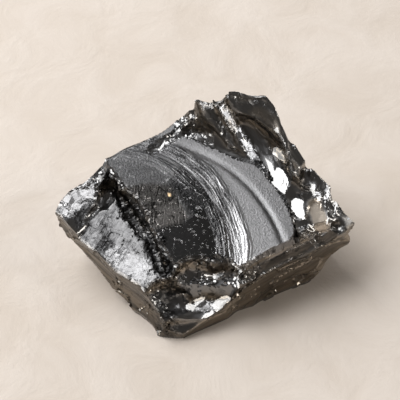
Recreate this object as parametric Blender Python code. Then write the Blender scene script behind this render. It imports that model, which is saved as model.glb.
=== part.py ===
"""A lump of elite shungite: one natural stone, resting on its flattest facet.

The stone is a slab of glassy carbon about 60 mm across. It parted from its bed along four steep
walls, and its top broke away in one big domed plate. A ridge still stands along the back right side,
the left side is a lower ledge behind a crevice, and the front corner is a low shelf. What gives the
stone its look is that each blow left a dished scar with sharp edges, so the model takes scars out of
a block in the same way. Places are in millimetres, and MM turns them into Blender's metres.
"""

import math

import bmesh
import bpy
from mathutils import Matrix, Vector

MM = 0.001

# ---------------------------------------------------------------- driving dimensions, in mm
CREST_HEIGHT = 30.0
BLOCK_REACH = 45.0
RIPPLE_CENTRE = Vector((-20.2, -10.5, 13.0))
PLATE_SLOPE = 0.25
DOME_RADIUS = 500.0
STONE_COLOUR = (0.055, 0.055, 0.06, 1.0)
STONE_ROUGHNESS = 0.28
STONE_METALLIC = 0.9


def collection(name, hidden=False):
    made = bpy.data.collections.new(name)
    bpy.context.scene.collection.children.link(made)
    made.hide_render = hidden
    return made


def clear_scene():
    for obj in list(bpy.data.objects):
        bpy.data.objects.remove(obj)


def new_object(name, bm, home):
    mesh = bpy.data.meshes.new(name)
    bmesh.ops.recalc_face_normals(bm, faces=bm.faces)
    bm.to_mesh(mesh)
    bm.free()
    obj = bpy.data.objects.new(name, mesh)
    home.objects.link(obj)
    if home.hide_render:
        obj.hide_render = True
        obj.display_type = "WIRE"
    return obj


def split_off(bm, point, outward):
    """Cuts the convex block with a plane and closes the cut."""
    geometry = bm.verts[:] + bm.edges[:] + bm.faces[:]
    cut = bmesh.ops.bisect_plane(
        bm, geom=geometry, plane_co=Vector(point) * MM, plane_no=Vector(outward), clear_outer=True
    )
    edges = [item for item in cut["geom_cut"] if isinstance(item, bmesh.types.BMEdge)]
    bmesh.ops.contextual_create(bm, geom=edges)


def convex(home, name, faces):
    bm = bmesh.new()
    bmesh.ops.create_cube(bm, size=2 * BLOCK_REACH * MM)
    for point, outward in faces:
        split_off(bm, point, outward)
    return new_object(name, bm, home)


def axes(facing, along):
    """A turn whose Z is the outward direction, and whose X is as near to `along` as it can be."""
    z = Vector(facing).normalized()
    y = z.cross(Vector(along)).normalized()
    x = y.cross(z)
    return Matrix((x, y, z)).transposed()


# The block's faces: a point on each, and the direction it faces.
BLOCK_FACES = (
    ((0, 0, 0), (0, 0, -1)),
    ((14.2, 17.3, 28.0), (0.05, -0.52, 1)),
    ((20.4, 6.2, 21.0), (0.31, -0.47, 0.83)),
    ((7.3, 18.2, CREST_HEIGHT), (-0.1, 0.35, 1)),
    ((-19.0, -9.3, 6.0), (-0.68, -0.72, 0.06)),
    ((14.0, -11.3, 6), (0.50, -0.86, -0.13)),
    ((-5.0, -20.3, 0), (-0.10, -1, -0.1)),
    ((26.0, 4.8, 16), (0.76, 0.645, 0.1)),
    ((-12.1, 15.1, 19.5), (-0.52, 0.85, 0.1)),
    ((-21.5, 8.5, 17.6), (-0.68, 0.73, -0.05)),
    ((-28.2, 1.6, 15.7), (-0.90, 0.43, -0.12)),
    ((6.0, 18.7, 27.0), (-0.02, 0.98, 0.2)),
    ((30.3, -1.6, 12), (0.97, -0.22, -0.1)),
    ((-28.5, 1.3, 10), (-0.63, -0.15, -0.76)),
    ((29.0, -2.0, 6.0), (0.66, -0.05, -0.75)),
    ((2.0, 21.5, 8.0), (-0.1, 0.75, -0.66)),
)

# The sides of what broke away above the plate, facing out of it and into the ridge.
PLATE_SIDES = (
    ((5.3, 12.2, 18.2), (0.321, 0.846, -0.425)),
    ((14.4, 5.3, 16.2), (0.682, 0.577, -0.45)),
    ((18.3, -1.8, 15.2), (0.95, 0.25, -0.2)),
)

# The floor of what broke away above the ledge, then its sides towards the plate and the left corner.
LEDGE_SIDES = (
    ((-16.5, -5.6, 11.6), (0.13, 0.26, -0.95)),
    ((-10.8, -3.9, 14.2), (0.64, 0.52, -0.56)),
    ((-20.6, 2.2, 14.0), (-0.70, 0.54, -0.47)),
)


def ripple(radius):
    """The height of the plate's surface above a plane, at a distance from where the blow fell."""
    dome = -radius * radius / (2 * DOME_RADIUS)
    hollow = -0.35 * math.exp(-(((radius - 27.5) / 1.6) ** 2))
    swell = 0.25 * math.exp(-(((radius - 31.0) / 1.8) ** 2))
    groove = -0.3 * math.exp(-(((radius - 35.3) / 0.8) ** 2))
    return dome + hollow + swell + groove


def plate_floor(home):
    """The rippled disc below the plate: rings spun around the point where the blow fell."""
    bm = bmesh.new()
    radii = [0, 8, 16, 20, 23, 25, 26, 27, 28, 29, 30, 31, 32, 33.4, 34.4, 35.3, 36.2, 37.2, 39, 42, 48, 60]
    profile = [bm.verts.new((r * MM, 0, ripple(r) * MM)) for r in radii]
    foot = bm.verts.new((radii[-1] * MM, 0, -BLOCK_REACH * MM))
    heel = bm.verts.new((0, 0, -BLOCK_REACH * MM))
    chain = profile + [foot, heel]
    edges = [bm.edges.new(pair) for pair in zip(chain, chain[1:])]
    bmesh.ops.spin(
        bm, geom=profile + [foot, heel] + edges, cent=(0, 0, 0), axis=(0, 0, 1), angle=2 * math.pi,
        steps=96, use_merge=True,
    )
    bmesh.ops.remove_doubles(bm, verts=bm.verts, dist=0.00001)
    turn = axes((0, -PLATE_SLOPE, 1), (1, 0, 0))
    lift = -ripple(22.0) * MM
    place = Matrix.Translation(RIPPLE_CENTRE * MM) @ turn.to_4x4() @ Matrix.Translation((0, 0, lift))
    bmesh.ops.transform(bm, matrix=place, verts=bm.verts)
    return new_object("plate_floor", bm, home)


def scar(home, name, at, facing, along, length, width, depth, dish=0.3, detail=3):
    """The bite of one blow: a cap of an ellipsoid, length by width at the surface and `depth` deep.

    `dish` is the share of the ellipsoid's own half height that goes into the stone: a small share
    leaves a wide shallow dish that meets the surface at a low angle."""
    rim = math.sqrt(1 - (1 - dish) ** 2)
    half_height = depth / dish
    bm = bmesh.new()
    bmesh.ops.create_icosphere(bm, subdivisions=detail, radius=MM)
    bmesh.ops.scale(bm, vec=(length / 2 / rim, width / 2 / rim, half_height), verts=bm.verts)
    turn = axes(facing, along)
    centre = Vector(at) + turn.col[2] * (half_height - depth)
    bmesh.ops.transform(bm, matrix=Matrix.Translation(centre * MM) @ turn.to_4x4(), verts=bm.verts)
    return new_object(name, bm, home)


def take_out(obj, name, cutter):
    modifier = obj.modifiers.new(name, "BOOLEAN")
    modifier.operation = "DIFFERENCE"
    modifier.object = cutter
    return modifier


def slate():
    material = bpy.data.materials.new("shungite")
    material.use_nodes = True
    finish = material.node_tree.nodes["Principled BSDF"]
    finish.inputs["Base Color"].default_value = STONE_COLOUR
    finish.inputs["Roughness"].default_value = STONE_ROUGHNESS
    finish.inputs["Metallic"].default_value = STONE_METALLIC
    return material


clear_scene()
stone_home = collection("shungite")
cutters = collection("cutters", hidden=True)
guides = collection("guides", hidden=True)
stone = convex(stone_home, "shungite", BLOCK_FACES)
stone.data.materials.append(slate())
plate = convex(guides, "plate", PLATE_SIDES)
take_out(plate, "floor", plate_floor(guides))
take_out(stone, "plate", plate)
take_out(stone, "ledge", convex(guides, "ledge", LEDGE_SIDES))

SCARS = (
    # name, at, facing, along, length, width, depth, dish, detail
    ("trough", (14.6, 6.3, 19.0), (-0.5, -0.42, 0.76), (8.1, -14, -6.5), 19, 7.0, 2.0, 0.35, 4),
    ("trough_head", (11.5, 11.9, 22.0), (-0.35, -0.72, 0.6), (4.6, -8, -5), 9, 4.6, 1.2, 0.35, 3),
    ("trough_end", (18.9, -0.8, 16.2), (-0.45, -0.25, 0.87), (2, -13, -5), 8.5, 5, 1.0, 0.3, 3),
    ("fan_1", (1.0, 14.6, 21.0), (-0.5, -0.72, 0.48), (5.4, -3.8, -4.5), 10, 4.0, 1.3, 0.4, 3),
    ("fan_2", (2.9, 14.0, 21.4), (-0.15, -0.86, 0.48), (5.0, -4.2, -5), 11, 3.2, 1.1, 0.4, 3),
    ("fan_3", (4.7, 14.2, 22.9), (-0.45, -0.8, 0.4), (4.5, -4.4, -5.6), 13, 3.0, 1.4, 0.4, 3),
    ("fan_4", (7.0, 13.4, 23.4), (-0.6, -0.62, 0.5), (4.6, -4.4, -6), 14, 2.6, 1.1, 0.4, 3),
    ("fan_5", (9.4, 12.0, 22.6), (-0.5, -0.5, 0.7), (3.5, -3.8, -5), 9, 2.0, 0.7, 0.4, 2),
    ("fan_foot", (5.4, 12.2, 19.3), (-0.3, -0.8, 0.52), (14, -6.3, -2), 11, 2.4, 0.9, 0.4, 3),
    ("pocket", (-2.7, 16.2, 20.8), (-0.3, -0.75, 0.6), (1, 0.0, 0.2), 4.6, 3.0, 2.2, 0.6, 2),
    ("pocket_2", (-0.4, 15.4, 20.9), (-0.3, -0.75, 0.6), (1, -0.4, 0), 4.0, 3.2, 1.9, 0.6, 2),
    ("left_knob_side", (-4.1, 16.8, 22.7), (-0.8, -0.3, 0.5), (0.1, 1, 0.2), 11, 8, 2.2, 0.4, 3),
    ("knob_left", (-0.4, 18.4, 27.4), (-0.5, -0.2, 0.9), (1, 0, 0), 7, 7, 1.2, 0.3, 3),
    ("knob_face", (-1.2, 17.2, 23.8), (-0.65, -0.6, 0.5), (1.3, -2.9, -1.2), 6, 3.4, 1.1, 0.4, 3),
    ("knob_gap", (1.9, 17.9, 26.6), (-0.3, -0.5, 0.9), (0.9, -1.8, -0.7), 6, 1.8, 1.0, 0.5, 3),
    ("peak_left", (4.0, 18.2, 29.0), (-0.4, -0.3, 0.9), (0.3, 1, 0), 5, 4, 0.9, 0.3, 3),
    ("knob_right", (12.0, 18.4, 29.4), (0.1, 0.3, 0.95), (1, 0, 0), 9, 6, 0.9, 0.3, 3),
    ("plateau_edge", (12.8, 12.6, 25.3), (-0.25, -0.75, 0.66), (8, -10.9, -6.1), 12, 3.0, 0.9, 0.35, 3),
    ("band", (18.8, 9.2, 23.0), (0.5, -0.2, 0.84), (5, -8, -5), 16, 4.4, 0.8, 0.2, 3),
    ("band_side", (21.0, 10.0, 19.0), (0.78, 0.6, 0.1), (11, -13, -8), 15, 13, 1.7, 0.2, 3),
    ("band_nick", (18.2, 11.0, 24.6), (0.7, 0.4, 0.6), (5, -8, -5), 8, 3.6, 0.8, 0.3, 2),
    ("gap", (20.5, 4.6, 20.4), (0.2, -0.1, 0.97), (0.35, 1, 0.3), 8, 1.8, 1.6, 0.6, 3),
    ("knob_face_low", (23.0, 0.4, 17.6), (-0.25, -0.66, 0.72), (5.7, 1.0, -1.6), 11, 6.5, 1.3, 0.3, 3),
    ("knob_fan", (24.6, 1.6, 17.2), (-0.3, -0.5, 0.8), (2, -4, -3.4), 7, 2.2, 0.9, 0.4, 3),
    ("knob_fan_2", (26.3, 1.4, 16.3), (0.0, -0.5, 0.86), (-0.2, -4, -3.0), 5, 2.0, 0.8, 0.4, 2),
    ("knob_notch", (22.4, -3.4, 15.0), (0.2, -0.75, 0.62), (4.2, -4.3, -4), 8, 5, 1.3, 0.35, 3),
    ("knob_pit", (26.9, -3.4, 13.6), (0.2, -0.6, 0.75), (1, 0, 0), 3.2, 3.0, 1.6, 0.6, 2),
    ("knob_top", (25.6, 5.6, 18.8), (0.5, 0.6, 0.6), (1, -1, -0.5), 6, 3, 0.6, 0.3, 2),
    ("border_chip", (19.0, -4.2, 14.8), (0.3, -0.6, 0.75), (3, 1.4, 0.6), 7, 2.4, 0.7, 0.4, 3),
    ("ledge_dish", (-13.6, -9.6, 10.9), (-0.24, -0.3, 0.92), (8, -9, -3), 12, 8, 0.7, 0.2, 3),
    ("ledge_dish_2", (-18.4, -2.2, 12.5), (-0.06, -0.26, 0.96), (8, -9, -2), 11, 8, 0.4, 0.15, 3),
    ("crevice", (-13.6, -0.4, 13.6), (-0.3, -0.4, 0.87), (8.8, -14.9, -3.8), 13, 2.4, 1.6, 0.7, 3),
    ("crevice_low", (-9.2, -7.6, 12.2), (-0.3, -0.4, 0.87), (5, -14.9, -3.8), 13, 2.2, 1.4, 0.7, 3),
    ("crevice_pit", (-18.6, 3.6, 15.4), (0.0, -0.3, 0.95), (0.4, 1, 0), 7, 4.0, 3.4, 0.7, 3),
    ("crevice_left", (-21.0, 1.0, 13.2), (0.2, -0.35, 0.9), (4.4, 5.7, 1), 7, 1.8, 1.0, 0.6, 3),
    ("corner_1", (-25.2, 1.8, 15.7), (-0.33, -0.26, 0.9), (1, 0.7, 0.2), 9.5, 7.0, 0.9, 0.15, 3),
    ("corner_2", (-23.4, 5.6, 16.8), (-0.45, 0.35, 0.82), (1, 1, 0.2), 9.0, 4.0, 0.8, 0.25, 3),
    ("corner_3", (-26.4, -0.6, 15.0), (-0.3, -0.6, 0.75), (1, -0.5, 0), 5.0, 3.0, 0.6, 0.3, 2),
    ("corner_4", (-20.2, 7.6, 17.6), (-0.35, -0.2, 0.9), (0.3, 1, 0.2), 8.5, 3.6, 1.3, 0.4, 3),
    ("notch_1", (-0.6, -14.3, 11.2), (-0.05, -0.75, 0.66), (1, 0, 0), 8.5, 8, 3.0, 0.5, 3),
    ("notch_2", (3.8, -14.6, 11.0), (0.15, -0.75, 0.66), (1, 0, 0), 7.5, 8, 2.8, 0.5, 3),
    ("shelf", (0.6, -18.5, 7.2), (-0.05, -0.35, 0.92), (1, 0.2, 0), 15, 8, 3.6, 0.4, 3),
    ("front_corner", (-5.5, -18.0, 8.0), (-0.25, -0.5, 0.83), (1, 0.2, 0), 9, 9, 3, 0.4, 3),
    ("front_lip", (-1.0, -20.0, 3.5), (0.1, -0.86, 0.5), (1, 0.2, 0), 13, 5, 1.2, 0.3, 3),
    ("cliff_1", (-15.6, 1.6, 16.0), (-0.5, -0.6, 0.6), (1, -1, 0), 4.5, 3.0, 1.4, 0.5, 2),
    ("cliff_2", (-12.6, -2.4, 15.2), (-0.6, -0.5, 0.6), (1, -1.4, 0), 5.0, 3.0, 1.3, 0.5, 2),
    ("cliff_3", (-10.2, -6.4, 14.2), (-0.7, -0.4, 0.6), (1, -1.8, 0), 4.5, 3.0, 1.3, 0.5, 2),
    ("cliff_4", (-8.2, -10.6, 13.2), (-0.8, -0.3, 0.6), (1, -3, 0), 5.0, 3.2, 1.4, 0.5, 2),
    ("cliff_5", (-6.8, -14.4, 11.8), (-0.8, -0.3, 0.6), (1, -3, 0), 4.6, 3.4, 1.6, 0.5, 2),
    ("edge_1", (-17.5, 12.6, 18.4), (-0.5, 0.6, 0.6), (0.8, 0.6, 0), 6, 2.6, 0.9, 0.4, 2),
    ("edge_2", (-9.5, 16.8, 19.8), (-0.4, 0.7, 0.6), (0.9, 0.4, 0), 6, 2.4, 0.8, 0.4, 2),
    # left front wall
    ("left_wall_1", (-23, -5.4, 8.5), (-0.62, -0.75, -0.2), (20, -18, -4), 17, 9, 0.9, 0.15, 3),
    ("left_wall_2", (-14.5, -13.4, 6.5), (-0.62, -0.78, -0.1), (20, -18, -3), 17, 10, 1.0, 0.15, 3),
    ("left_wall_3", (-27, -1.5, 12.0), (-0.75, -0.6, -0.2), (1, -1, 0), 8, 6, 0.8, 0.2, 2),
    ("left_foot_1", (-12.0, -15.6, 0.8), (-0.55, -0.65, -0.5), (20, -18, 0), 9, 3.5, 0.9, 0.3, 2),
    ("left_foot_2", (-17, -9.0, 1.8), (-0.5, -0.5, -0.7), (20, -18, 0), 9, 4, 0.8, 0.3, 2),
    ("left_edge_1", (-17.8, -9.6, 11.0), (-0.5, -0.5, 0.7), (20, -18, 0), 5, 2.5, 0.9, 0.3, 2),
    ("left_edge_2", (-12.4, -15.4, 9.6), (-0.5, -0.5, 0.7), (20, -18, 0), 5, 2.2, 0.8, 0.3, 2),
    # right front wall
    ("right_wall_1", (15, -10.4, 5.5), (0.5, -0.85, -0.16), (0.86, 0.5, 0), 24, 11, 1.0, 0.12, 3),
    ("right_wall_2", (25, -4.6, 7.0), (0.52, -0.83, -0.2), (0.86, 0.5, 0.1), 11, 9, 0.9, 0.2, 3),
    ("right_layer", (15.2, -9.6, 11.8), (0.42, -0.85, 0.3), (0.86, 0.5, 0.1), 16, 3.0, 0.7, 0.3, 3),
    ("right_crack", (8.4, -14.2, 7.2), (0.5, -0.86, 0.1), (10, 5, 9), 15, 1.3, 0.8, 0.6, 3),
    ("right_foot_1", (8.5, -13.8, 0.8), (0.4, -0.75, -0.5), (0.86, 0.5, 0), 7, 3, 0.9, 0.3, 2),
    ("right_foot_2", (20, -7.6, 1.5), (0.4, -0.75, -0.5), (0.86, 0.5, 0), 6, 3, 1.0, 0.4, 2),
    ("right_corner", (29, -3.5, 10.5), (0.85, -0.5, -0.1), (0, 0, 1), 7, 5, 0.9, 0.3, 2),
    # back
    ("back_1", (-17.5, 11.6, 9.0), (-0.6, 0.79, -0.05), (0.8, 0.6, 0), 19, 14, 1.8, 0.2, 3),
    ("back_2", (-8.0, 18.2, 9.5), (-0.4, 0.9, 0.0), (0.8, 0.6, 0), 13, 15, 1.8, 0.2, 3),
    ("back_3", (-26, 4.0, 10.5), (-0.8, 0.55, -0.2), (0, 0, 1), 9, 8, 1.3, 0.25, 3),
    ("back_4", (4.0, 20.2, 18.5), (-0.1, 0.97, 0.2), (0, 0, 1), 13, 11, 1.4, 0.2, 3),
    ("back_5", (8.0, 20.5, 10.5), (0.2, 0.95, -0.2), (1, -0.2, 0), 17, 11, 1.8, 0.2, 3),
    ("back_6", (16.9, 13.4, 16.5), (0.72, 0.65, 0.15), (0.65, -0.75, -0.2), 15, 13, 1.7, 0.2, 3),
    ("back_7", (24.5, 4.0, 10.0), (0.78, 0.6, 0.0), (0.65, -0.75, -0.2), 14, 13, 1.6, 0.2, 3),
    ("back_8", (17.0, 15.0, 6.5), (0.6, 0.7, -0.3), (0.65, -0.75, 0), 14, 9, 1.5, 0.2, 3),
    ("under_left", (-24, 0.5, 6.2), (-0.63, -0.15, -0.76), (0, 1, 0), 12, 12, 1.0, 0.2, 3),
    ("under_right", (27, -1.5, 4.2), (0.66, -0.05, -0.75), (0, 1, 0), 8, 9, 0.8, 0.2, 3),
    ("under_back", (0.0, 17.5, 4.0), (-0.1, 0.72, -0.7), (1, 0, 0), 18, 8, 1.2, 0.2, 3),
)
gather = collection("scars", hidden=True)
for scar_row in SCARS:
    scar(gather, *scar_row)
bite = stone.modifiers.new("scars", "BOOLEAN")
bite.operation = "DIFFERENCE"
bite.operand_type = "COLLECTION"
bite.collection = gather
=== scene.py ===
import math

import bmesh
import bpy
import numpy as np
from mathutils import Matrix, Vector


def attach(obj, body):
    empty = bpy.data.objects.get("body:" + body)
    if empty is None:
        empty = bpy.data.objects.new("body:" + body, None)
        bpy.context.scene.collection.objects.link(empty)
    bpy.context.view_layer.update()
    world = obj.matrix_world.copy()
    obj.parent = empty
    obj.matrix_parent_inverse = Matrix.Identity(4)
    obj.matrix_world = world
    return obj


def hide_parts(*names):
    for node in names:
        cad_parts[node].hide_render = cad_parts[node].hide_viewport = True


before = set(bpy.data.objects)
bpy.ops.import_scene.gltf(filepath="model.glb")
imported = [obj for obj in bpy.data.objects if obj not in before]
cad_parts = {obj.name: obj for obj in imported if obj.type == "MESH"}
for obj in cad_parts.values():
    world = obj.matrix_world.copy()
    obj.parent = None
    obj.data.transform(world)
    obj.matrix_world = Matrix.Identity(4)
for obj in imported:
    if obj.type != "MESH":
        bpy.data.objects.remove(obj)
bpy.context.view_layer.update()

# ---------------------------------------------------------------------------------------------
# The plaster board. The stone lies on a wide pale board of troweled plaster, which fills the view
# and lights the stone's walls from below. It is only the stage, and no part of the stone.
# ---------------------------------------------------------------------------------------------
MM = 0.001
BOARD_HALF_WIDTH = 1500 * MM
BOARD_SQUARES = 8
DARK_PLASTER = (0.60, 0.536, 0.477, 1)
PALE_PLASTER = (0.666, 0.608, 0.558, 1)
TROWEL_RELIEF = 0.5 * MM


class Socket:
    """One output of a shader node, with the arithmetic that the recipes below are written in."""

    def __init__(self, recipe, output):
        self.recipe, self.output = recipe, output

    def work_out(self, operation, *values):
        return self.recipe.node("ShaderNodeMath", dict(enumerate(values)), operation=operation)[0]

    def __add__(self, other):
        return self.work_out("ADD", self, other)

    def __sub__(self, other):
        return self.work_out("SUBTRACT", self, other)

    def __mul__(self, other):
        return self.work_out("MULTIPLY", self, other)

    def __pow__(self, other):
        return self.work_out("POWER", self, other)

    def __radd__(self, other):
        return self.work_out("ADD", other, self)

    def __rsub__(self, other):
        return self.work_out("SUBTRACT", other, self)

    def __rmul__(self, other):
        return self.work_out("MULTIPLY", other, self)

    def __abs__(self):
        return self.work_out("ABSOLUTE", self)

    def at_least(self, other):
        return self.work_out("MAXIMUM", self, other)

    def at_most(self, other):
        return self.work_out("MINIMUM", self, other)

    def ramp(self, low, high, start=0.0, end=1.0):
        """Runs smoothly from start to end while the value runs from low to high."""
        sockets = {"Value": self, "From Min": low, "From Max": high, "To Min": start, "To Max": end}
        return self.recipe.node("ShaderNodeMapRange", sockets, interpolation_type="SMOOTHSTEP")["Result"]

    def within(self, begins, full, fades, ends):
        """1 while the value is between `full` and `fades`, and 0 before it begins and after it ends."""
        return self.ramp(begins, full) * self.ramp(ends, fades)


class Outputs:
    """The outputs of one node, by name or by number."""

    def __init__(self, recipe, made):
        self.recipe, self.made = recipe, made

    def __getitem__(self, name):
        return Socket(self.recipe, self.made.outputs[name])


class Recipe:
    """The node tree of a material or of the room, written as a list of steps."""

    def __init__(self, owner, finish="Principled BSDF"):
        owner.use_nodes = True
        self.tree = owner.node_tree
        self.finish = self.tree.nodes[finish]
        self.coordinates = self.node("ShaderNodeTexCoord")
        self.place = self.coordinates["Object"]

    def node(self, kind, sockets=None, **settings):
        made = self.tree.nodes.new(kind)
        for name, value in settings.items():
            setattr(made, name, value)
        self.fill(made, sockets or {})
        return Outputs(self, made)

    def fill(self, made, sockets):
        """Gives a node's sockets their values or links."""
        for name, value in sockets.items():
            if isinstance(value, Socket):
                self.tree.links.new(value.output, made.inputs[name])
            else:
                made.inputs[name].default_value = value

    def set(self, **sockets):
        """Fills the last node's sockets, with _ for each space in their names."""
        self.fill(self.finish, {name.replace("_", " "): value for name, value in sockets.items()})

    def vector(self, operation, *values, **named):
        return self.node("ShaderNodeVectorMath", {**dict(enumerate(values)), **named}, operation=operation)

    def noise(self, size, detail, roughness=0.5, distortion=0.0, place=None):
        """Noise whose largest lumps are about `size` millimetres wide."""
        sockets = {
            "Vector": place or self.place, "Scale": 1 / (size * MM), "Detail": detail,
            "Roughness": roughness, "Distortion": distortion,
        }
        return self.node("ShaderNodeTexNoise", sockets)[0]

    def facets(self, size, lean, all_lean=(0, 0, 0), place=None):
        """The height in millimetres of flat facets about `size` wide, each leaning its own way."""
        where = place or self.place
        cell = self.node("ShaderNodeTexVoronoi", {"Vector": where, "Scale": 1 / (size * MM)}, feature="F1")
        turned = self.vector("SUBTRACT", cell["Color"], (0.5, 0.5, 0.5))["Vector"]
        turned = self.vector("SCALE", turned, Scale=2 * lean)["Vector"]
        turned = self.vector("ADD", turned, tuple(all_lean))["Vector"]
        offset = self.vector("SUBTRACT", where, cell["Position"])["Vector"]
        return self.vector("DOT_PRODUCT", turned, offset)["Value"] * (1 / MM)

    def cracks(self, size, width, place=None):
        """1 along the borders of cells about `size` millimetres wide, and 0 away from them."""
        sockets = {"Vector": place or self.place, "Scale": 1 / (size * MM)}
        cell = self.node("ShaderNodeTexVoronoi", sockets, feature="DISTANCE_TO_EDGE")
        return cell["Distance"].ramp(0, width / size, 1, 0)

    def drawn_out(self, direction, stretch):
        """A place in which whatever is laid out becomes `stretch` times as long in one direction."""
        along = tuple(unit(direction))
        way = self.vector("DOT_PRODUCT", self.place, along)["Value"] * (1 / stretch - 1)
        return self.vector("ADD", self.place, self.vector("SCALE", along, Scale=way)["Vector"])["Vector"]

    def layers(self, ground, *layers):
        """A ground value with layers laid over it, each of them a mask and how much it adds."""
        for mask, amount in layers:
            ground = ground + mask * amount
        return ground

    def attributes(self, *names):
        return [self.node("ShaderNodeAttribute", attribute_name=name)["Fac"] for name in names]

    def blend(self, factor, first, second):
        """A colour between two colours."""
        return self.node("ShaderNodeMix", {0: factor, 6: first, 7: second}, data_type="RGBA")[2]

    def tinted(self, tone, tint):
        """A tone as a colour, with its shares of red, green and blue."""
        return self.node("ShaderNodeCombineColor", {i: tone * share for i, share in enumerate(tint)})[0]

    def bump(self, height, depth):
        return self.node("ShaderNodeBump", {"Height": height, "Distance": depth, "Strength": 1.0})["Normal"]


def plaster():
    material = bpy.data.materials.new("troweled_plaster")
    recipe = Recipe(material)
    cloud = recipe.noise(60, 4, 0.6)
    trowel = recipe.noise(14, 6, 0.62, distortion=0.6)
    specks = recipe.noise(0.8, 3, 0.6)
    tone = (cloud * 0.5 + trowel * 0.5).ramp(0.35, 0.65)
    recipe.set(
        Base_Color=recipe.blend(tone, DARK_PLASTER, PALE_PLASTER),
        Roughness=0.8,
        Specular_IOR_Level=0.2,
        Normal=recipe.bump(trowel + specks * 0.06, TROWEL_RELIEF),
    )
    return material


bm = bmesh.new()
bmesh.ops.create_grid(bm, x_segments=BOARD_SQUARES, y_segments=BOARD_SQUARES, size=BOARD_HALF_WIDTH)
board_mesh = bpy.data.meshes.new("plaster_board")
bm.to_mesh(board_mesh)
bm.free()
board_mesh.materials.append(plaster())
board = bpy.data.objects.new("plaster_board", board_mesh)
bpy.context.scene.collection.objects.link(board)

# ---------------------------------------------------------------------------------------------
# The light and the view. A wide softbox hangs at the upper left, and weak strips fill in from the
# right and from behind. Away from the softbox the room is dark, which makes the glassy scars black.
# ---------------------------------------------------------------------------------------------
VIEW_CENTRE = Vector((0.0, 5.5, 12.0)) * MM
VIEW_DISTANCE = 300 * MM
VIEW_HEIGHT = math.radians(45)
LENS = 135
NEAREST_SEEN = 10 * MM
FARTHEST_SEEN = 20000 * MM
LAMP_DISTANCE = 800 * MM
KEY_DIRECTION = (-0.62, 0.25, 0.75)
KEY_WIDTH = 780 * MM
STRIP_LENGTH = 500 * MM
STRIP_WIDTH = 100 * MM
ROOM_SHADE = (0.097, 0.088, 0.078, 1)
ROOM_GLOW = (0.33, 0.33, 0.34, 1)
# the cosines from the softbox's direction at which the glow around it begins and is full
GLOW_BEGINS = 0.6
GLOW_FULL = 0.98


def aim(thing, place, target):
    thing.location = place
    thing.rotation_mode = "QUATERNION"
    thing.rotation_quaternion = (Vector(target) - Vector(place)).to_track_quat("-Z", "Y")


def softbox(name, direction, width, height, power, colour):
    light = bpy.data.lights.new(name, "AREA")
    light.shape = "RECTANGLE"
    light.size = width
    light.size_y = height
    light.energy = power
    light.color = colour
    lamp = bpy.data.objects.new(name, light)
    bpy.context.scene.collection.objects.link(lamp)
    aim(lamp, VIEW_CENTRE + Vector(direction).normalized() * LAMP_DISTANCE, VIEW_CENTRE)


softbox("key_softbox", KEY_DIRECTION, KEY_WIDTH, KEY_WIDTH, power=10.5, colour=(1.0, 0.985, 0.96))
softbox("right_strip", (0.85, -0.1, 0.5), STRIP_WIDTH, STRIP_LENGTH, power=1.3, colour=(1.0, 0.95, 0.88))
softbox("back_strip", (0.1, 0.95, 0.45), STRIP_LENGTH, STRIP_WIDTH, power=0.7, colour=(0.95, 0.97, 1.0))

room = bpy.data.worlds.new("dark_room")
bpy.context.scene.world = room
recipe = Recipe(room, "Background")
to_key = tuple(Vector(KEY_DIRECTION).normalized())
near_key = recipe.vector("DOT_PRODUCT", recipe.coordinates["Generated"], to_key)["Value"]
recipe.set(Color=recipe.blend(near_key.ramp(GLOW_BEGINS, GLOW_FULL), ROOM_SHADE, ROOM_GLOW))
bpy.context.scene.view_settings.view_transform = "Standard"

camera_data = bpy.data.cameras.new("camera")
camera_data.lens = LENS
camera_data.clip_start = NEAREST_SEEN
camera_data.clip_end = FARTHEST_SEEN
camera = bpy.data.objects.new("camera", camera_data)
bpy.context.scene.collection.objects.link(camera)
back = Vector((0, -math.cos(VIEW_HEIGHT), math.sin(VIEW_HEIGHT)))
aim(camera, VIEW_CENTRE + back * VIEW_DISTANCE, VIEW_CENTRE)
bpy.context.scene.camera = camera

# ---------------------------------------------------------------------------------------------
# The stone. Elite shungite is almost pure carbon: black, glassy and as brittle as glass. It is
# one piece with no grain of its own, so its whole form is the scars of the blows that freed it.
# ---------------------------------------------------------------------------------------------
FINE_MESH_DEPTH = 8
FINE_MESH_SCALE = 0.80
SAME_PLACE = 0.001 * MM
EVENING_ROUNDS = 6
EVENING_CREASE = 24

bm = bmesh.new()
bm.from_mesh(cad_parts["shungite"].data)
bmesh.ops.remove_doubles(bm, verts=bm.verts, dist=SAME_PLACE)
stone_mesh = bpy.data.meshes.new("stone")
bm.to_mesh(stone_mesh)
bm.free()
stone = bpy.data.objects.new("stone", stone_mesh)
bpy.context.scene.collection.objects.link(stone)
remesh = stone.modifiers.new("fine", "REMESH")
remesh.mode = "SHARP"
remesh.octree_depth = FINE_MESH_DEPTH
remesh.scale = FINE_MESH_SCALE
remesh.use_remove_disconnected = True
stone_mesh = bpy.data.meshes.new_from_object(stone.evaluated_get(bpy.context.evaluated_depsgraph_get()))
stone.modifiers.clear()
stone.data = stone_mesh


def unit(direction):
    direction = np.asarray(direction, float)
    return direction / np.linalg.norm(direction)


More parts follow.
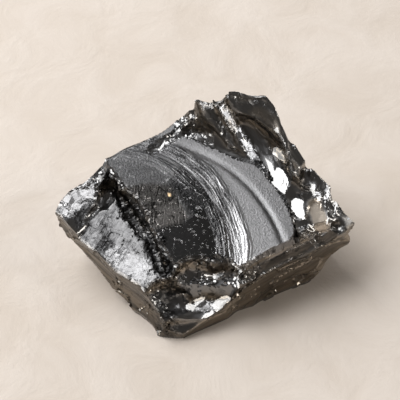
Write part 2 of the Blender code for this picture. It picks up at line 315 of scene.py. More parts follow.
class Surface:
    """The stone's fine mesh as arrays, with the strokes that shape it, all in millimetres."""

    FIRM_HOLD = 0.8         # a vertex is evened out only where its neighbours hold it at least this firmly
    SCAR_REACH = 2          # a scar's floor is followed out to this many times its own radius
    RIM_SLOPE = 0.6         # past that radius the floor climbs by this share of the width for each one more
    TURNED_AWAY = -0.1      # a vertex that faces further away from the blow than this isn't struck

    def __init__(self, mesh):
        self.mesh = mesh
        self.co = self.read("vertices", "co", 3) * (1 / MM)
        self.ends = self.read("edges", "vertices", 2, np.int64)
        self.order = np.argsort(self.co[:, 0])
        self.sorted_x = self.co[self.order, 0]
        self.refresh()

    def read(self, domain, name, width, kind=np.float64):
        items = getattr(self.mesh, domain)
        values = np.empty(len(items) * width, kind)
        items.foreach_get(name, values)
        return values.reshape(-1, width)

    def refresh(self):
        """Puts the places back in the mesh, none of them below its base, and reads the new normals."""
        self.co[:, 2] = np.maximum(self.co[:, 2], 0)
        self.mesh.vertices.foreach_set("co", (self.co * MM).ravel())
        self.mesh.update()
        self.normal = self.read("vertices", "normal", 3)

    def spread(self, values, rounds=1, weight=None):
        """Averages a value with its neighbours' along the mesh's edges."""
        a, b = self.ends[:, 0], self.ends[:, 1]
        size = len(self.co)
        share = np.ones(len(a)) if weight is None else weight
        count = np.bincount(a, share, size) + np.bincount(b, share, size)
        for _ in range(rounds):
            columns = [
                np.bincount(a, values[b, i] * share, size) + np.bincount(b, values[a, i] * share, size)
                for i in range(values.shape[1])
            ]
            values = np.stack(columns, 1) / np.maximum(count, 1e-9)[:, None]
        return values, count

    def soften(self, mask, rounds):
        """A mask as shares from 0 to 1, with its border blurred."""
        return self.spread(mask.astype(float)[:, None], rounds)[0][:, 0]

    def smooth(self, rounds, crease, where=1.0):
        """Evens out facets, and leaves an edge sharp where the surface turns by more than `crease`."""
        a, b = self.ends[:, 0], self.ends[:, 1]
        limit = 1 - math.cos(math.radians(crease))
        for _ in range(rounds):
            turn = 1 - np.einsum("ij,ij->i", self.normal[a], self.normal[b])
            middle, hold = self.spread(self.co, 1, np.exp(-((turn / limit) ** 2)))
            share = np.where(hold > self.FIRM_HOLD, where, 0) / 2
            self.co += (middle - self.co) * share[:, None]
            self.refresh()

    def blunt(self, limit, rounds):
        """Pulls in each vertex that stands out from its neighbours, so that no sliver is left."""
        for _ in range(rounds):
            middle, _ = self.spread(self.co)
            out = np.linalg.norm(middle - self.co, axis=1) > limit
            self.co[out] = middle[out]
        self.refresh()

    def scar(self, at, facing, along, length, width, depth, reach):
        """Hollows the surface where one blow fell, through what stands up to `reach` over its floor."""
        z = unit(facing)
        y = unit(np.cross(z, along))
        x = np.cross(y, z)
        span = max(length, width) + reach
        first, last = np.searchsorted(self.sorted_x, (at[0] - span, at[0] + span))
        near = self.order[first:last]
        local = self.co[near] - at
        u, v, w = local @ x * 2 / length, local @ y * 2 / width, local @ z
        out = np.sqrt(u * u + v * v)
        floor = depth * (out * out - 1) + self.RIM_SLOPE * width * np.maximum(out - 1, 0)
        hit = (out < self.SCAR_REACH) & (self.normal[near] @ z > self.TURNED_AWAY)
        hit &= (w > floor) & (w - floor < reach)
        self.co[near[hit]] += np.outer(floor[hit] - w[hit], z)

    def faces(self, direction, closeness):
        """Whether each vertex faces a direction, by the cosine of the angle between them."""
        return self.normal @ unit(direction) > closeness

    def sharpness(self):
        """How far the surface turns at each vertex, in degrees."""
        a, b = self.ends[:, 0], self.ends[:, 1]
        turn = np.degrees(np.arccos(np.clip(np.einsum("ij,ij->i", self.normal[a], self.normal[b]), -1, 1)))
        most = np.zeros(len(self.co))
        np.maximum.at(most, a, turn)
        np.maximum.at(most, b, turn)
        return most


surface = Surface(stone_mesh)
surface.smooth(EVENING_ROUNDS, EVENING_CREASE)

# ---------------------------------------------------------------------------------------------
# The walls. The stone parted from its bed along steep joints, which are only gently dished and
# are lined by the joints' own fine layers. They mirror the board, and their brown is also painted
# on as a reflection of it, with a painted sheen on the walls other than the left one.
# ---------------------------------------------------------------------------------------------
SEED = 7
SMALL_MORE_OFTEN = 1.5
SHALLOWEST = 0.6
GRAIN_SCATTER = 0.12
FLAKE_REACH = 1.6
FLAKE_REACH_LEAST = 0.1
UPWARD_ENOUGH = 0.42
WALL_FOOT = 0.3
EDGE_TURN = 25
EDGE_FOOT = 0.5
LEFT_FACING = (-0.68, -0.72, 0.06)
LEFT_GRAIN = (20, -18, -4)
RIGHT_FACING = (0.5, -0.86, -0.13)
RIGHT_GRAIN = (0.86, 0.5, 0.1)

rng = np.random.default_rng(SEED)


def flake(spots, count, size, depth_share, lean, stretch=1.6, grain=None):
    """Scatters small scars over the vertices in `spots`, each facing about the way that its spot does.

    Their widths lie between the two of `size`, and their depths are up to `depth_share` of their widths.
    """
    smallest, largest = size
    for spot in rng.choice(np.nonzero(spots)[0], count):
        width = smallest * (largest / smallest) ** (rng.random() ** SMALL_MORE_OFTEN)
        facing = surface.normal[spot] + rng.normal(0, lean, 3)
        along = rng.normal(0, 1, 3) if grain is None else unit(grain) + rng.normal(0, GRAIN_SCATTER, 3)
        depth = width * rng.uniform(SHALLOWEST, 1.0) * depth_share
        length = width * rng.uniform(1.0, stretch)
        reach = depth * FLAKE_REACH + FLAKE_REACH_LEAST
        surface.scar(surface.co[spot], facing, along, length, width, depth, reach)
    surface.refresh()


wall = (surface.normal[:, 2] < UPWARD_ENOUGH) & (surface.co[:, 2] > WALL_FOOT)
left_wall = wall & surface.faces(LEFT_FACING, 0.8)
right_wall = wall & surface.faces(RIGHT_FACING, 0.8)
hidden_wall = wall & ~left_wall & ~right_wall
upper_edges = (surface.sharpness() > EDGE_TURN) & (surface.co[:, 2] > EDGE_FOOT) & (surface.normal[:, 2] > 0)
flake(upper_edges, 90, size=(1.5, 4.5), depth_share=0.05, lean=0.10)
flake(left_wall, 30, size=(2.0, 5.0), depth_share=0.04, lean=0.04, stretch=5.0, grain=LEFT_GRAIN)
flake(right_wall, 24, size=(2.0, 4.0), depth_share=0.03, lean=0.03, stretch=6.0, grain=RIGHT_GRAIN)
flake(hidden_wall, 150, size=(2.0, 7.0), depth_share=0.02, lean=0.07)

# ---------------------------------------------------------------------------------------------
# The ridge and its two knobs. Long narrow scars fan down from the crest to the plate, and a deep
# glassy trough runs behind them to the right edge. The knobs at the ends are hackly.
# ---------------------------------------------------------------------------------------------
# a facet that faces this way mirrors the softbox to the front
LAMP_FACING = (-0.38, -0.28, 0.88)
STRIKE_REACH = 2.0
FAN_FACING = (-0.32, -0.85, 0.43)
FAN_GRAIN = (4.5, -4.4, -5.3)
FAN_LEFT_END = 0
FAN_FOOT = 19
# places on the ridge, as bent lines through the stone
FAN_RIB = [(4.5, 17.9, 25.8), (5.6, 17.0, 24.8), (6.8, 15.5, 23.4), (8.0, 14.5, 21.8), (9.6, 12.8, 19.9),
           (10.6, 11.2, 18.7)]
LEFT_KNOB = [(-3.2, 17.4, 21.5), (-1.5, 18.0, 24.5), (1.5, 18.0, 26.6)]
LEFT_KNOB_TOP = [(-1.6, 18.6, 25.2), (0.4, 18.4, 26.2), (2.2, 18.2, 26.6)]
RIGHT_KNOB = [(22.0, 5.0, 19.5), (25.0, 4.5, 18.5), (28.0, 1.0, 15.5)]
RIGHT_KNOB_GRAIN = (0, 3.4, 1.7)
KNOB_FAN = [(22.1, 2.7, 18.1), (24.0, 3.4, 17.8), (25.4, 2.4, 17.0), (25.0, 0.6, 16.2)]
KNOB_LIGHTS = [
    [(-1.6, 18.4, 25.2), (-0.9, 18.5, 25.8)],
    [(1.6, 18.4, 26.2), (2.0, 18.2, 25.2)],
    [(-0.6, 17.6, 22.8), (0.4, 17.9, 24.2)],
    [(1.8, 18.2, 25.0), (4.8, 17.9, 25.9)],
    [(21.8, 4.2, 17.8), (22.6, 2.6, 17.3), (23.4, 1.2, 16.5)],
    [(25.0, 4.4, 17.9), (25.3, 3.0, 17.2), (25.1, 1.8, 16.6)],
]
BACK_RIM = [(-9.5, 12.8, 18.6), (-6.4, 15.2, 19.4), (-3.4, 17.4, 20.0)]
TROUGH_GRAIN = (8.1, -14.0, -6.5)
PLATEAU_GRAIN = (5, -8, -5)
# the crest's high points, each with how far it is raised, and how far around it the rise reaches
PEAKS = [
    ([(3.8, 18.2, 28.3), (7.2, 18.2, 28.6)], 1.3),
    ([(12.2, 16.8, 27.4), (13.4, 16.0, 26.6)], 1.5),
    ([(-1.8, 18.6, 25.8), (0.8, 18.5, 26.4)], 1.3),
]
PEAK_REACH = 2.4
# how far the very top is worn down, and the heights where the wear begins and is full
CREST_WEAR = 0.45
WEAR_BEGINS = 28.2
WEAR_FULL = 30.0
# places that broke without any hackle, each with the reach and the rounds of its smoothing
CALM = [
    ([(10.6, 15.4, 26.4), (12.8, 13.9, 25.2), (15.2, 12.4, 24.6)], 3.0, 24),
    ([(9.8, 14.4, 20.9), (11.2, 12.9, 19.7)], 1.4, 12),
    ([(21.6, 5.2, 19.2), (24.2, 5.0, 18.8)], 1.4, 14),
    (LEFT_KNOB_TOP, 1.2, 4),
]
CALM_CREASE = 70
CALM_FADE = 1.4
# single scars: place, facing, long direction, length, width, depth and, where it isn't the usual one, reach
RIDGE_SCARS = {
    "left knob's top": ((2.4, 18.6, 26.5), (-0.1, -0.1, 0.98), (1.0, 0.0, 0.2), 3.6, 3.6, 0.05, 3.5),
    "plateau's lower end": ((15.3, 12.3, 24.7), (-0.1, -0.6, 0.8), PLATEAU_GRAIN, 3.5, 2.4, 0.05),
    "trough's upper light": ((15.6, 10.2, 19.8), LAMP_FACING, TROUGH_GRAIN, 4.4, 1.9, 0.03),
    "trough's lower light": ((16.2, 6.4, 17.5), LAMP_FACING, TROUGH_GRAIN, 5.0, 1.9, 0.03),
    "trough's mouth": ((19.6, -0.3, 15.3), (-0.36, -0.28, 0.89), (0.6, -1.0, -0.3), 5.6, 3.0, 0.03, 0.9),
    "plateau": ((12.2, 14.2, 25.4), (0.0, -0.52, 0.86), PLATEAU_GRAIN, 7.5, 6.0, 0.1),
    "right knob's cap": ((22.9, 5.4, 19.4), (0.05, -0.75, 0.66), (1.0, 0.0, -0.2), 5.0, 2.6, 0.05),
    # the next facet's beige is a reflection of the board that the material paints on
    "right knob's painted-reflection facet": ((23.1, -1.4, 14.6), (-0.1, -0.5, 0.86), (0.3, -1.0, -0.6), 5.5, 3.6, 0.05),
    "painted-reflection facet's foot": ((24.5, -4.8, 12.1), (0.1, -0.7, 0.7), (1.0, 0.3, 0.0), 4.5, 2.6, 0.05),
    "right knob's left light": ((22.7, 2.6, 17.4), LAMP_FACING, (-2.9, 3.0, 2.6), 4.5, 1.8, 0.03),
    "right knob's dark rib": ((24.2, 2.2, 17.0), (-0.62, -0.5, 0.6), (-1.0, 4.3, 2.1), 4.5, 0.9, 0.03),
    "right knob's right light": ((25.1, 1.8, 16.6), LAMP_FACING, RIGHT_KNOB_GRAIN, 4.0, 0.9, 0.03),
}


def step(value, low, high):
    """A smooth rise from 0 to 1 while the value runs from low to high."""
    t = np.clip((value - low) / (high - low), 0, 1)
    return t * t * (3 - 2 * t)


def path_distance(path):
    """Each vertex's distance from a bent line through the stone."""
    best = np.full(len(surface.co), np.inf)
    for p, q in zip(path, path[1:]):
        p, q = np.asarray(p, float), np.asarray(q, float)
        t = np.clip((surface.co - p) @ (q - p) / ((q - p) @ (q - p)), 0, 1)
        best = np.minimum(best, np.linalg.norm(surface.co - p - np.outer(t, q - p), axis=1))
    return best


def near(path, reach):
    return path_distance(path) < reach


def strike(scars):
    """Takes out single scars, one after another."""
    for at, facing, along, length, width, depth, *reach in scars.values():
        surface.scar(at, facing, along, length, width, depth, *(reach or [STRIKE_REACH]))
    surface.refresh()


for path, height in PEAKS:
    surface.co[:, 2] += height * step(-path_distance(path), -PEAK_REACH, 0)
surface.refresh()
# the bright strips and knob lights, whose tone the material lightens as painted highlights
bright = near(FAN_RIB, 0.9)
for light in KNOB_LIGHTS:
    bright |= near(light, 0.55)
bright &= ~wall
back_rim = near(BACK_RIM, 1.1)
knob_fan = near(KNOB_FAN, 1.8)
left_knob = near(LEFT_KNOB, 3.0) & ~wall
right_knob = near(RIGHT_KNOB, 3.5) & ~wall
fan = surface.faces(FAN_FACING, 0.7) & (surface.co[:, 0] > FAN_LEFT_END) & (surface.co[:, 2] > FAN_FOOT)
flake(fan, 12, size=(1.4, 2.2), depth_share=0.03, lean=0.06, stretch=5.0, grain=FAN_GRAIN)
flake(back_rim, 18, size=(1.2, 2.6), depth_share=0.05, lean=0.30)
flake(left_knob, 16, size=(1.5, 3.5), depth_share=0.03, lean=0.20)
flake(right_knob, 14, size=(1.2, 2.2), depth_share=0.03, lean=0.15, stretch=4.0, grain=RIGHT_KNOB_GRAIN)
strike(RIDGE_SCARS)
for path, reach, rounds in CALM:
    calm = step(-path_distance(path), -reach - CALM_FADE, -reach)
    surface.smooth(rounds, CALM_CREASE, where=calm)
surface.co[:, 2] -= CREST_WEAR * step(surface.co[:, 2], WEAR_BEGINS, WEAR_FULL)
surface.refresh()

# ---------------------------------------------------------------------------------------------
# The front corner. Several shelves broke away one above another, and left a brown hollow under
# the plate's edge, a bright shelf below it and a steep facet down to the foot.
# ---------------------------------------------------------------------------------------------
FRONT_COLUMN = [(-6.8, -12.5, 11.0), (-7.0, -15.5, 8.0), (-6.6, -18.5, 5.0), (-7.0, -20.0, 2.0)]
FRONT_PATH = [(-4.0, -15.0, 8.5), (1.0, -15.0, 8.5), (6.0, -14.0, 10.0)]
FRONT_SCARS = {
    "shelf's left end": ((-2.8, -16.0, 4.9), LAMP_FACING, (1.0, 0.1, 0.0), 3.8, 2.4, 0.05),
    "shelf": ((0.2, -16.0, 5.2), LAMP_FACING, (1.0, 0.1, 0.0), 6.5, 2.8, 0.05),
    "shelf's right end": ((4.2, -15.8, 5.2), (-0.34, -0.32, 0.88), (1.0, 0.3, 0.3), 4.0, 2.6, 0.05),
    "light under the plate": ((3.6, -12.0, 9.2), LAMP_FACING, (1.0, 0.6, 0.2), 2.8, 2.0, 0.05),
    "brown hollow": ((2.1, -14.7, 8.0), (-0.1, -0.6, 0.8), (1.0, 0.4, 0.4), 4.0, 2.4, 0.05),
}

column = near(FRONT_COLUMN, 2.2)
front = near(FRONT_PATH, 3.5) & (surface.normal[:, 2] > 0.2)
flake(front, 30, size=(1.2, 4.5), depth_share=0.04, lean=0.20)
flake(column, 60, size=(1.0, 2.6), depth_share=0.05, lean=0.35)
strike(FRONT_SCARS)

# ---------------------------------------------------------------------------------------------
# The ledge on the left, with the crevice between it and the plate. The ledge is a flat break
# that is crazed like old varnish. The crevice is a hackly cliff, darkened with painted shade for its depth.
# ---------------------------------------------------------------------------------------------
LEDGE_FACING = (-0.13, -0.26, 0.95)
LEDGE_RIGHT_END = -6.8
LEDGE_TOP = 14.2
CREVICE = [(-18.8, 6.5, 16.0), (-16.5, 4.4, 14.8), (-13.4, 0.6, 13.8), (-10.6, -4.4, 12.8),
           (-8.2, -9.0, 12.0), (-6.8, -12.0, 11.5)]
CORNER = [(-27.0, 1.6, 15.0), (-23.6, 4.4, 15.8), (-20.5, 7.0, 16.8)]

on_ledge = surface.faces(LEDGE_FACING, 0.93)
on_ledge &= (surface.co[:, 0] < LEDGE_RIGHT_END) & (surface.co[:, 2] < LEDGE_TOP)
crevice = near(CREVICE, 2.0) & ~on_ledge & (surface.normal[:, 2] < 0.93)
corner = near(CORNER, 3.6) & (surface.normal[:, 2] > 0.6)
flake(on_ledge, 12, size=(3.0, 6.0), depth_share=0.012, lean=0.015)
on_ledge = surface.soften(on_ledge, 6) > 0.3
flake(corner, 30, size=(1.2, 3.0), depth_share=0.03, lean=0.10)
flake(crevice, 110, size=(1.0, 2.6), depth_share=0.05, lean=0.40)

# ---------------------------------------------------------------------------------------------
# The plate. It is one great ripple mark: the blow fell at its lower left, and its rings spread
# from there. It rolls like a slow wave, and a narrow groove runs round it inside its border.
# ---------------------------------------------------------------------------------------------
RIPPLE_CENTRE = np.array((-20.2, -10.5, 13.0))
PLATE_SLOPE = 0.25
# how steeply the surface climbs outwards, at each distance from the blow
SLOPES = {0: -0.02, 20: -0.05, 24: -0.06, 26: -0.12, 27.2: 0.0, 28.5: 0.10, 30: 0.05, 34: 0.07, 42: 0.06}
SLOPE_STEP = 0.1
LEVEL_RADIUS = 26.0
# the groove's distance from the blow, how far it draws nearer with each radian, its depth and half its width
GROOVE_AT = 36.7
GROOVE_TURN = 6.9
GROOVE_DEPTH = 0.16
GROOVE_HALF_WIDTH = 0.6
PLATE_RADIUS = 38.8
PLATE_LEFT_END = -19.5
# how far off the mesh may lie and still be brought to the plate, before and after its border is evened out
PLATE_REACH = 1.75
PLATE_REACH_AT_BORDER = 2
SLIVER = 0.40

tilt = math.hypot(1, PLATE_SLOPE)
plate_normal = np.array((0, -PLATE_SLOPE, 1)) / tilt
plate_up = np.array((0, 1, PLATE_SLOPE)) / tilt


def ripple(radius):
    """The height of the plate's surface above a plane, at a distance from where the blow fell."""
    steps = np.arange(0, max(SLOPES), SLOPE_STEP)
    height = np.cumsum(np.interp(steps, list(SLOPES), list(SLOPES.values()))) * SLOPE_STEP
    return np.interp(radius, steps, height) - np.interp(LEVEL_RADIUS, steps, height)


from_blow = surface.co - RIPPLE_CENTRE
radius = np.hypot(from_blow[:, 0], from_blow @ plate_up)
to_groove = radius + GROOVE_TURN * np.arctan2(from_blow @ plate_up, from_blow[:, 0]) - GROOVE_AT
groove = GROOVE_DEPTH * np.exp(-((to_groove / GROOVE_HALF_WIDTH) ** 2))
above_plate = from_blow @ plate_normal - ripple(radius) + groove
on_plate = (np.abs(above_plate) < PLATE_REACH) & surface.faces(plate_normal, 0.92)
on_plate &= (surface.co[:, 0] > PLATE_LEFT_END) & (radius < PLATE_RADIUS) & ~back_rim
on_plate = (surface.soften(on_plate, 5) > 0.5) & (np.abs(above_plate) < PLATE_REACH_AT_BORDER)
surface.co -= np.outer(np.where(on_plate, above_plate, 0), plate_normal)
surface.blunt(SLIVER, 4)

# ---------------------------------------------------------------------------------------------
# The finish. Shungite mirrors like black glass where it broke cleanly, and is a grey satin where
# its grain was torn. Hairs, cracks and flecks too fine for the mesh are in the material alone. The
# material also paints shade into the crevice, highlights onto lit facets and reflections of the board.
# ---------------------------------------------------------------------------------------------
# places that the finish treats apart, as bent lines through the stone or as outlines seen from above
BEVEL = [(9.6, -12.4, 10.7), (15.7, -9.1, 11.0), (21.8, -5.7, 12.2), (25.5, -3.6, 12.0)]
# the right knob's facet, on which the material paints a reflection of the board
PAINTED_REFLECTION_FACET = [(22.4, 0.2, 15.8), (23.8, -3.2, 13.6)]
SHELF = [(-3.0, -16.4, 6.0), (0.5, -16.2, 5.6), (4.0, -16.0, 6.0)]
LOW_LEDGE = [(-16.5, -8.5, 10.1), (-13.3, -10.9, 10.0), (-9.6, -12.8, 10.4)]
BLACK_GLASS = [(-9.0, -6.6), (-7.5, -5.4), (-3.7, -4.5), (-0.6, -2.4), (1.0, -0.4), (2.4, -4.0), (4.0, -9.0),
               (5.0, -12.0), (0.9, -12.4), (-5.6, -12.6)]
TAN_PATCH = [(-14.9, 3.6), (-11.4, 4.6), (-8.8, 4.6), (-5.6, 4.3), (-4.6, 1.6), (-2.2, -2.5), (-3.7, -4.5),
             (-7.5, -5.4), (-9.0, -6.0), (-11.0, -2.8), (-13.2, 1.0)]
PALE_FLAT = [(-8.0, -0.4), (-4.0, 0.1), (-2.1, -2.5), (-5.0, -4.1), (-8.9, -5.7)]
GOLD_PIT = (-6.0, 2.4)
GOLD_PIT_RADIUS = 0.42
# bands of rings on the plate: how far from the blow each begins, is full, fades and ends
HOLLOW = (25.4, 26.6, 28.8, 30.0)
FRONT_STREAKS = (22.6, 24.0, 29.0, 30.6)
BACK_STREAKS = (21.5, 24.5, 28.8, 30.0)
FRONT_SHEEN = (24, 26, 29.5, 31)
DIM_MIDDLE = (19.5, 22, 25.2, 26.4)
# how long a radian counts in the pattern of the hairs: little, so that they run far along the rings
HAIR_RADIAN = 2.4 * MM
LEDGE_GRAIN = (0.45, 0.85, 0.28)
KNOB_GRAIN = (-0.2, -0.8, -0.55)
BEVEL_FACING = (0.25, -0.68, 0.69)
BEVEL_GRAIN = (0.8, 0.3, 0.6)
BEVEL_LEAN = (-0.3, 0.75, 0.6)
PLATEAU_FACING = (0.05, -0.52, 1)
PLATEAU_FOOT = 21
CRACK_GRAIN = (0.8, 0.45, 0.4)
SCRATCH_GRAIN = (1.0, 0.55, 0.15)
STONE_TONE = 0.13
PLATE_TONE = 0.15
DARKEST_TONE = 0.02
COOL_GREY = (1.0, 1.01, 1.05)
WARM_BROWN = (1.08, 0.89, 0.66)
PYRITE = (0.95, 0.70, 0.42, 1)
STONE_ROUGHNESS = 0.34
PLATE_ROUGHNESS = 0.36
SHARP_EDGE = math.radians(20)


def inside_outline(outline):
    """Whether each vertex lies inside an outline that is seen from above."""
    x, y = surface.co[:, 0], surface.co[:, 1]
    hit = np.zeros(len(x), bool)
    for (x0, y0), (x1, y1) in zip(outline, outline[1:] + outline[:1]):
        if y0 != y1:
            hit ^= ((y0 > y) != (y1 > y)) & (x < (x1 - x0) * (y - y0) / (y1 - y0) + x0)
    return hit


def mark(name, mask, rounds):
    """Writes a mask into the mesh for the material to read, with its border blurred."""
    stone_mesh.attributes.new(name, "FLOAT", "POINT").data.foreach_set("value", surface.soften(mask, rounds))


far_corner = near(CORNER[:2], 3.0) & (surface.normal[:, 2] > 0.6)
# places whose facets lean to the softbox, and whose tone is lightened as a painted highlight
lit = far_corner | near(SHELF, 1.8) | near(LEFT_KNOB_TOP, 1.0)
in_front = surface.faces(LEFT_FACING, 0.4) | surface.faces(RIGHT_FACING, 0.4)
bevel = near(BEVEL, 2.4) & surface.faces(BEVEL_FACING, 0.8)
gold_pit = np.hypot(*(surface.co[:, :2] - GOLD_PIT).T) < GOLD_PIT_RADIUS
mark("plate", on_plate, 1)
mark("black_glass", on_plate & inside_outline(BLACK_GLASS), 3)
mark("tan", on_plate & inside_outline(TAN_PATCH), 3)
mark("pale", on_plate & inside_outline(PALE_FLAT), 2)
mark("gold", on_plate & gold_pit, 0)
mark("ledge", on_ledge, 1)
mark("low_ledge", on_ledge & near(LOW_LEDGE, 2.6), 5)
mark("wall", wall, 3)
mark("left_wall", wall & surface.faces(LEFT_FACING, 0.5), 2)
mark("hidden", wall & ~in_front, 4)
mark("bevel", bevel & ~on_plate & ~wall, 2)
mark("fan", fan, 2)
mark("plateau", surface.faces(PLATEAU_FACING, 0.96) & (surface.co[:, 2] > PLATEAU_FOOT), 3)
mark("painted_reflection_facet", near(PAINTED_REFLECTION_FACET, 1.5) & ~wall, 1)
mark("bright", bright, 1)
mark("lit", lit & ~on_plate & ~wall, 1)
mark("knob_fan", knob_fan & ~wall, 1)
mark("hackly", (crevice | column) & ~on_plate & ~on_ledge & ~lit, 2)
# painted shade for the crevice, and the front column at 0.4 made darker
mark("crevice_shade_and_dark_column", crevice + 0.4 * column, 2)


def plate_finish(recipe):
    """The plate's height, tone and roughness, and a mask of where it is smooth black glass."""
    glass, tan, pale = recipe.attributes("black_glass", "tan", "pale")

    # each point's distance from the place of the blow, a little bent, and its bearing in radians
    offset = recipe.vector("SUBTRACT", recipe.place, tuple(RIPPLE_CENTRE * MM))["Vector"]
    across = recipe.vector("DOT_PRODUCT", offset, (1 / MM, 0, 0))["Value"]
    along = recipe.vector("DOT_PRODUCT", offset, tuple(plate_up / MM))["Value"]
    bearing = along.work_out("ARCTAN2", along, across)
    bend = (recipe.noise(14, 2) - 0.5) * 2.2 + (recipe.noise(2.0, 2) - 0.5) * 0.25
    ring = (across * across + along * along) ** 0.5 + bend
    ring_place = recipe.node("ShaderNodeCombineXYZ", {0: ring * MM, 1: bearing * HAIR_RADIAN})[0]
    hairs = recipe.noise(0.42, 1, place=ring_place)
    stripes = recipe.noise(2.2, 2, place=ring_place)
    grain = recipe.noise(0.35, 2, 0.6)
    broken = recipe.noise(1.0, 3, 0.75)

    # how strongly the rings are lined: in the hollow, and inside it in streaks at the front and at the back
    hollow = ring.within(*HOLLOW)
    front_streaks = ring.within(*FRONT_STREAKS) * bearing.ramp(0.55, 0.35)
    back_streaks = ring.within(*BACK_STREAKS) * bearing.ramp(0.5, 0.9)
    lined = hollow.at_least(front_streaks).at_least(back_streaks * 0.7)
    combed = lined * (1 - front_streaks * 0.7)
    bright_hairs = hairs.ramp(0.54, 0.64) * combed * (1 - back_streaks * 0.6)
    dark_hairs = hairs.ramp(0.48, 0.38) * combed

    # the places between the rings, and the groove
    smooth = glass * (1 - lined)
    inner = ring.ramp(24, 21)
    upper_left = inner * (1 - tan)
    dim_middle = ring.within(*DIM_MIDDLE) * bearing.ramp(0.95, 0.75)
    # the band at the front whose lighter tone is a painted sheen
    front_sheen = ring.within(*FRONT_SHEEN) * bearing.ramp(0.45, 0.15)
    to_groove = ring + bearing * GROOVE_TURN - GROOVE_AT
    outer_band = ring.ramp(29.5, 31) - to_groove.ramp(0.5, 1.5) * 0.5
    dark_arc = abs(to_groove).ramp(0.9, 0.2) * bearing.ramp(0.8, 0.6) * broken.ramp(0.30, 0.50, 0.4, 1.0)

    # cracks across the tan patch, and scratches and flecks inside the rings
    crack_place = recipe.vector("MULTIPLY", recipe.place, (1.0, 0.12, 1.0))["Vector"]
    cracks = recipe.cracks(1.6, 0.10, place=crack_place) * (tan - pale * 0.5) * broken.ramp(0.42, 0.52)
    scratches = recipe.cracks(3.4, 0.03, place=recipe.drawn_out(SCRATCH_GRAIN, 3)) * broken.ramp(0.48, 0.60)
    flecks = broken.ramp(0.58, 0.66) * recipe.layers(smooth, (tan, 0.4), (dim_middle, 0.5), (inner, 0.3))
    flecks = flecks.at_least(scratches * ring.ramp(26, 24) * 0.8).at_most(1)

    height = recipe.layers(
        cracks * -0.15, (bright_hairs - dark_hairs, 0.06), (stripes * lined, 0.3),
        (grain, (1 - smooth) * 0.065), (flecks, 0.08),
    )
    # painted light: the bright hairs' lighter tone paints their glints over their relief, and the front
    # band's lighter tone is a painted sheen
    tone = recipe.layers(
        PLATE_TONE, (bright_hairs, 0.28), (dark_hairs, -0.07), (dark_arc, -0.09), (dim_middle, -0.07),
        (cracks, -0.2), (smooth, -0.13), (outer_band, 0.075), (front_sheen, 0.27), (tan, -0.09),
        (upper_left * (1 - smooth), -0.045), (pale, 0.06), (flecks, 0.5), (grain - 0.5, 0.20),
    )
    roughness = recipe.layers(
        PLATE_ROUGHNESS, (upper_left, -0.03), (smooth, -0.16), (lined, -0.08), (dim_middle, -0.12),
        (tan, -0.06), (grain - 0.5, 0.12), (outer_band, 0.05), (dark_arc, -0.1),
    )
    return height, tone, roughness, smooth


def ledge_finish(recipe):
    """The ledge's height, and how much lighter or darker than the stone it is."""
    ledge, low_ledge = recipe.attributes("ledge", "low_ledge")
    brushed = recipe.noise(0.6, 3, 0.6, place=recipe.drawn_out(LEDGE_GRAIN, 7))
    cracks = recipe.cracks(1.8, 0.07) * recipe.noise(4, 2).ramp(0.46, 0.56)
    facets = recipe.facets(0.55, 0.08) + recipe.facets(2.2, 0.06)
    height = recipe.layers(facets, (brushed, 0.07), (recipe.noise(1.1, 4, 0.6), 0.03))
    tone = (recipe.noise(2.5, 3) - 0.7) * 0.06 + (brushed - 0.5) * 0.12 - 0.02 - cracks * 0.12
    # the ledge's lower part is lightened: a painted highlight
    return height, tone * ledge + low_ledge * 0.09


def wall_finish(recipe):
    """The walls' height, and how much lighter or darker than the stone they are."""
    wall, left_wall, hidden = recipe.attributes("wall", "left_wall", "hidden")
    left_lines = recipe.noise(0.8, 3, 0.6, place=recipe.drawn_out(LEFT_GRAIN, 14))
    right_lines = recipe.noise(0.8, 3, 0.6, place=recipe.drawn_out(RIGHT_GRAIN, 10))
    lines = left_lines * left_wall + right_lines * (1 - left_wall)
    sheen = recipe.noise(6, 2, place=recipe.drawn_out(RIGHT_GRAIN, 2.5)).ramp(0.42, 0.60) * (1 - left_wall)
    cracks = recipe.cracks(4.0, 0.11, place=recipe.drawn_out(CRACK_GRAIN, 3.5)) * (1 - left_wall) * wall
    cracks = cracks * recipe.noise(5, 2).ramp(0.42, 0.55)
    height = lines * (0.05 + left_wall * 0.11) + recipe.noise(1.4, 3, 0.6) * 0.05 - cracks * 0.12
    tone = (lines.ramp(0.40, 0.60) - 0.35) * 0.10 + 0.03 - left_wall * 0.07 + sheen * 0.10
    return height, tone * wall - cracks * 0.14 - hidden * 0.07


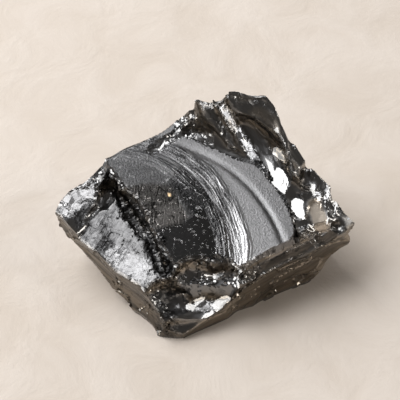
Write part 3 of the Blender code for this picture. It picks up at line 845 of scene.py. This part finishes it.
def facet_heights(recipe):
    """The height of the fine facets, which in the lit places and on the bevel all lean one way."""
    hackly, lit, bright, low_ledge = recipe.attributes("hackly", "lit", "bright", "low_ledge")
    knob_fan, bevel, fan = recipe.attributes("knob_fan", "bevel", "fan")
    from_lamp = -unit(LAMP_FACING)
    knob_place = recipe.drawn_out(KNOB_GRAIN, 5)
    bevel_place = recipe.drawn_out(BEVEL_GRAIN, 3)
    fan_place = recipe.drawn_out(FAN_GRAIN, 6)
    return recipe.layers(
        hackly * (recipe.facets(0.8, 0.2) + recipe.facets(1.8, 0.15)),
        (lit, recipe.facets(1.4, 0.32, from_lamp * 0.95)),
        (bright, recipe.facets(1.1, 0.42, from_lamp * 1.35)),
        (low_ledge, recipe.facets(1.0, 0.08, from_lamp * 0.35)),
        (knob_fan, recipe.facets(0.9, 0.25, place=knob_place)),
        (bevel, recipe.facets(1.6, 0.16, unit(BEVEL_LEAN) * 0.85, place=bevel_place)),
        (fan * (1 - bright), recipe.facets(0.8, 0.45, from_lamp * 0.6, place=fan_place)),
    )


def shungite_glass():
    material = bpy.data.materials.new("shungite_glass")
    recipe = Recipe(material)
    plate, ledge, wall, hidden = recipe.attributes("plate", "ledge", "wall", "hidden")
    tan, gold, bevel, plateau = recipe.attributes("tan", "gold", "bevel", "plateau")
    painted_reflection_facet, bright, lit, crevice_shade_and_dark_column = recipe.attributes("painted_reflection_facet", "bright", "lit", "crevice_shade_and_dark_column")
    plate_height, plate_tone, plate_roughness, smooth = plate_finish(recipe)
    ledge_height, ledge_tone = ledge_finish(recipe)
    wall_height, wall_tone = wall_finish(recipe)
    glassy_height = recipe.noise(3.5, 3) * 0.08
    open_height = wall_height * wall + glassy_height * (1 - wall)

    height = recipe.layers(
        facet_heights(recipe), (plate_height, plate), (ledge_height, ledge),
        (open_height, 1 - (plate + ledge).at_most(1)),
    )
    # painted highlights and reflection: the bright strips and lit places are lightened where their facets
    # mirror the softbox, and the right knob's facet is lightened as a painted reflection of the board
    tone = recipe.layers(
        STONE_TONE + ledge_tone + wall_tone,
        (plate_tone - STONE_TONE, plate), (painted_reflection_facet, 0.6), (bright, 0.22), (lit, 0.08),
    )
    # painted shade: the crevice is darkened in tone and coat, and the front column less so
    painted_shade_lightness = 1 - crevice_shade_and_dark_column * 0.8
    tone = (tone * painted_shade_lightness).at_least(DARKEST_TONE)
    # the brown tint: on the walls, the plateau, the bevel and the right knob's facet it is a painted
    # reflection of the pale board, weaker on the hidden walls; on the tan patch it is the patch's tint
    brown = (wall * 1.5 - hidden * 0.8).at_least(tan * 0.4).at_least(plateau)
    brown = brown.at_least(painted_reflection_facet).at_least(bevel) * 0.6
    stone_colour = recipe.blend(brown, recipe.tinted(tone, COOL_GREY), recipe.tinted(tone, WARM_BROWN))
    recipe.set(
        Base_Color=recipe.blend(gold, stone_colour, PYRITE),
        Metallic=1.0,
        Coat_Weight=(1 - plate * (1 - smooth * 0.75) - ledge - wall * 0.6) * painted_shade_lightness,
        Coat_Roughness=0.06,
        Coat_IOR=2.1,
        Roughness=recipe.layers(
            STONE_ROUGHNESS, (plateau, 0.06), (plate_roughness - STONE_ROUGHNESS, plate), (wall, -0.06),
        ),
        Normal=recipe.bump(height, MM),
    )
    return material


stone_mesh.materials.clear()
stone_mesh.materials.append(shungite_glass())
stone_mesh.shade_smooth()
stone_mesh.set_sharp_from_angle(angle=SHARP_EDGE)
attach(stone, "root")
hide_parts("shungite")
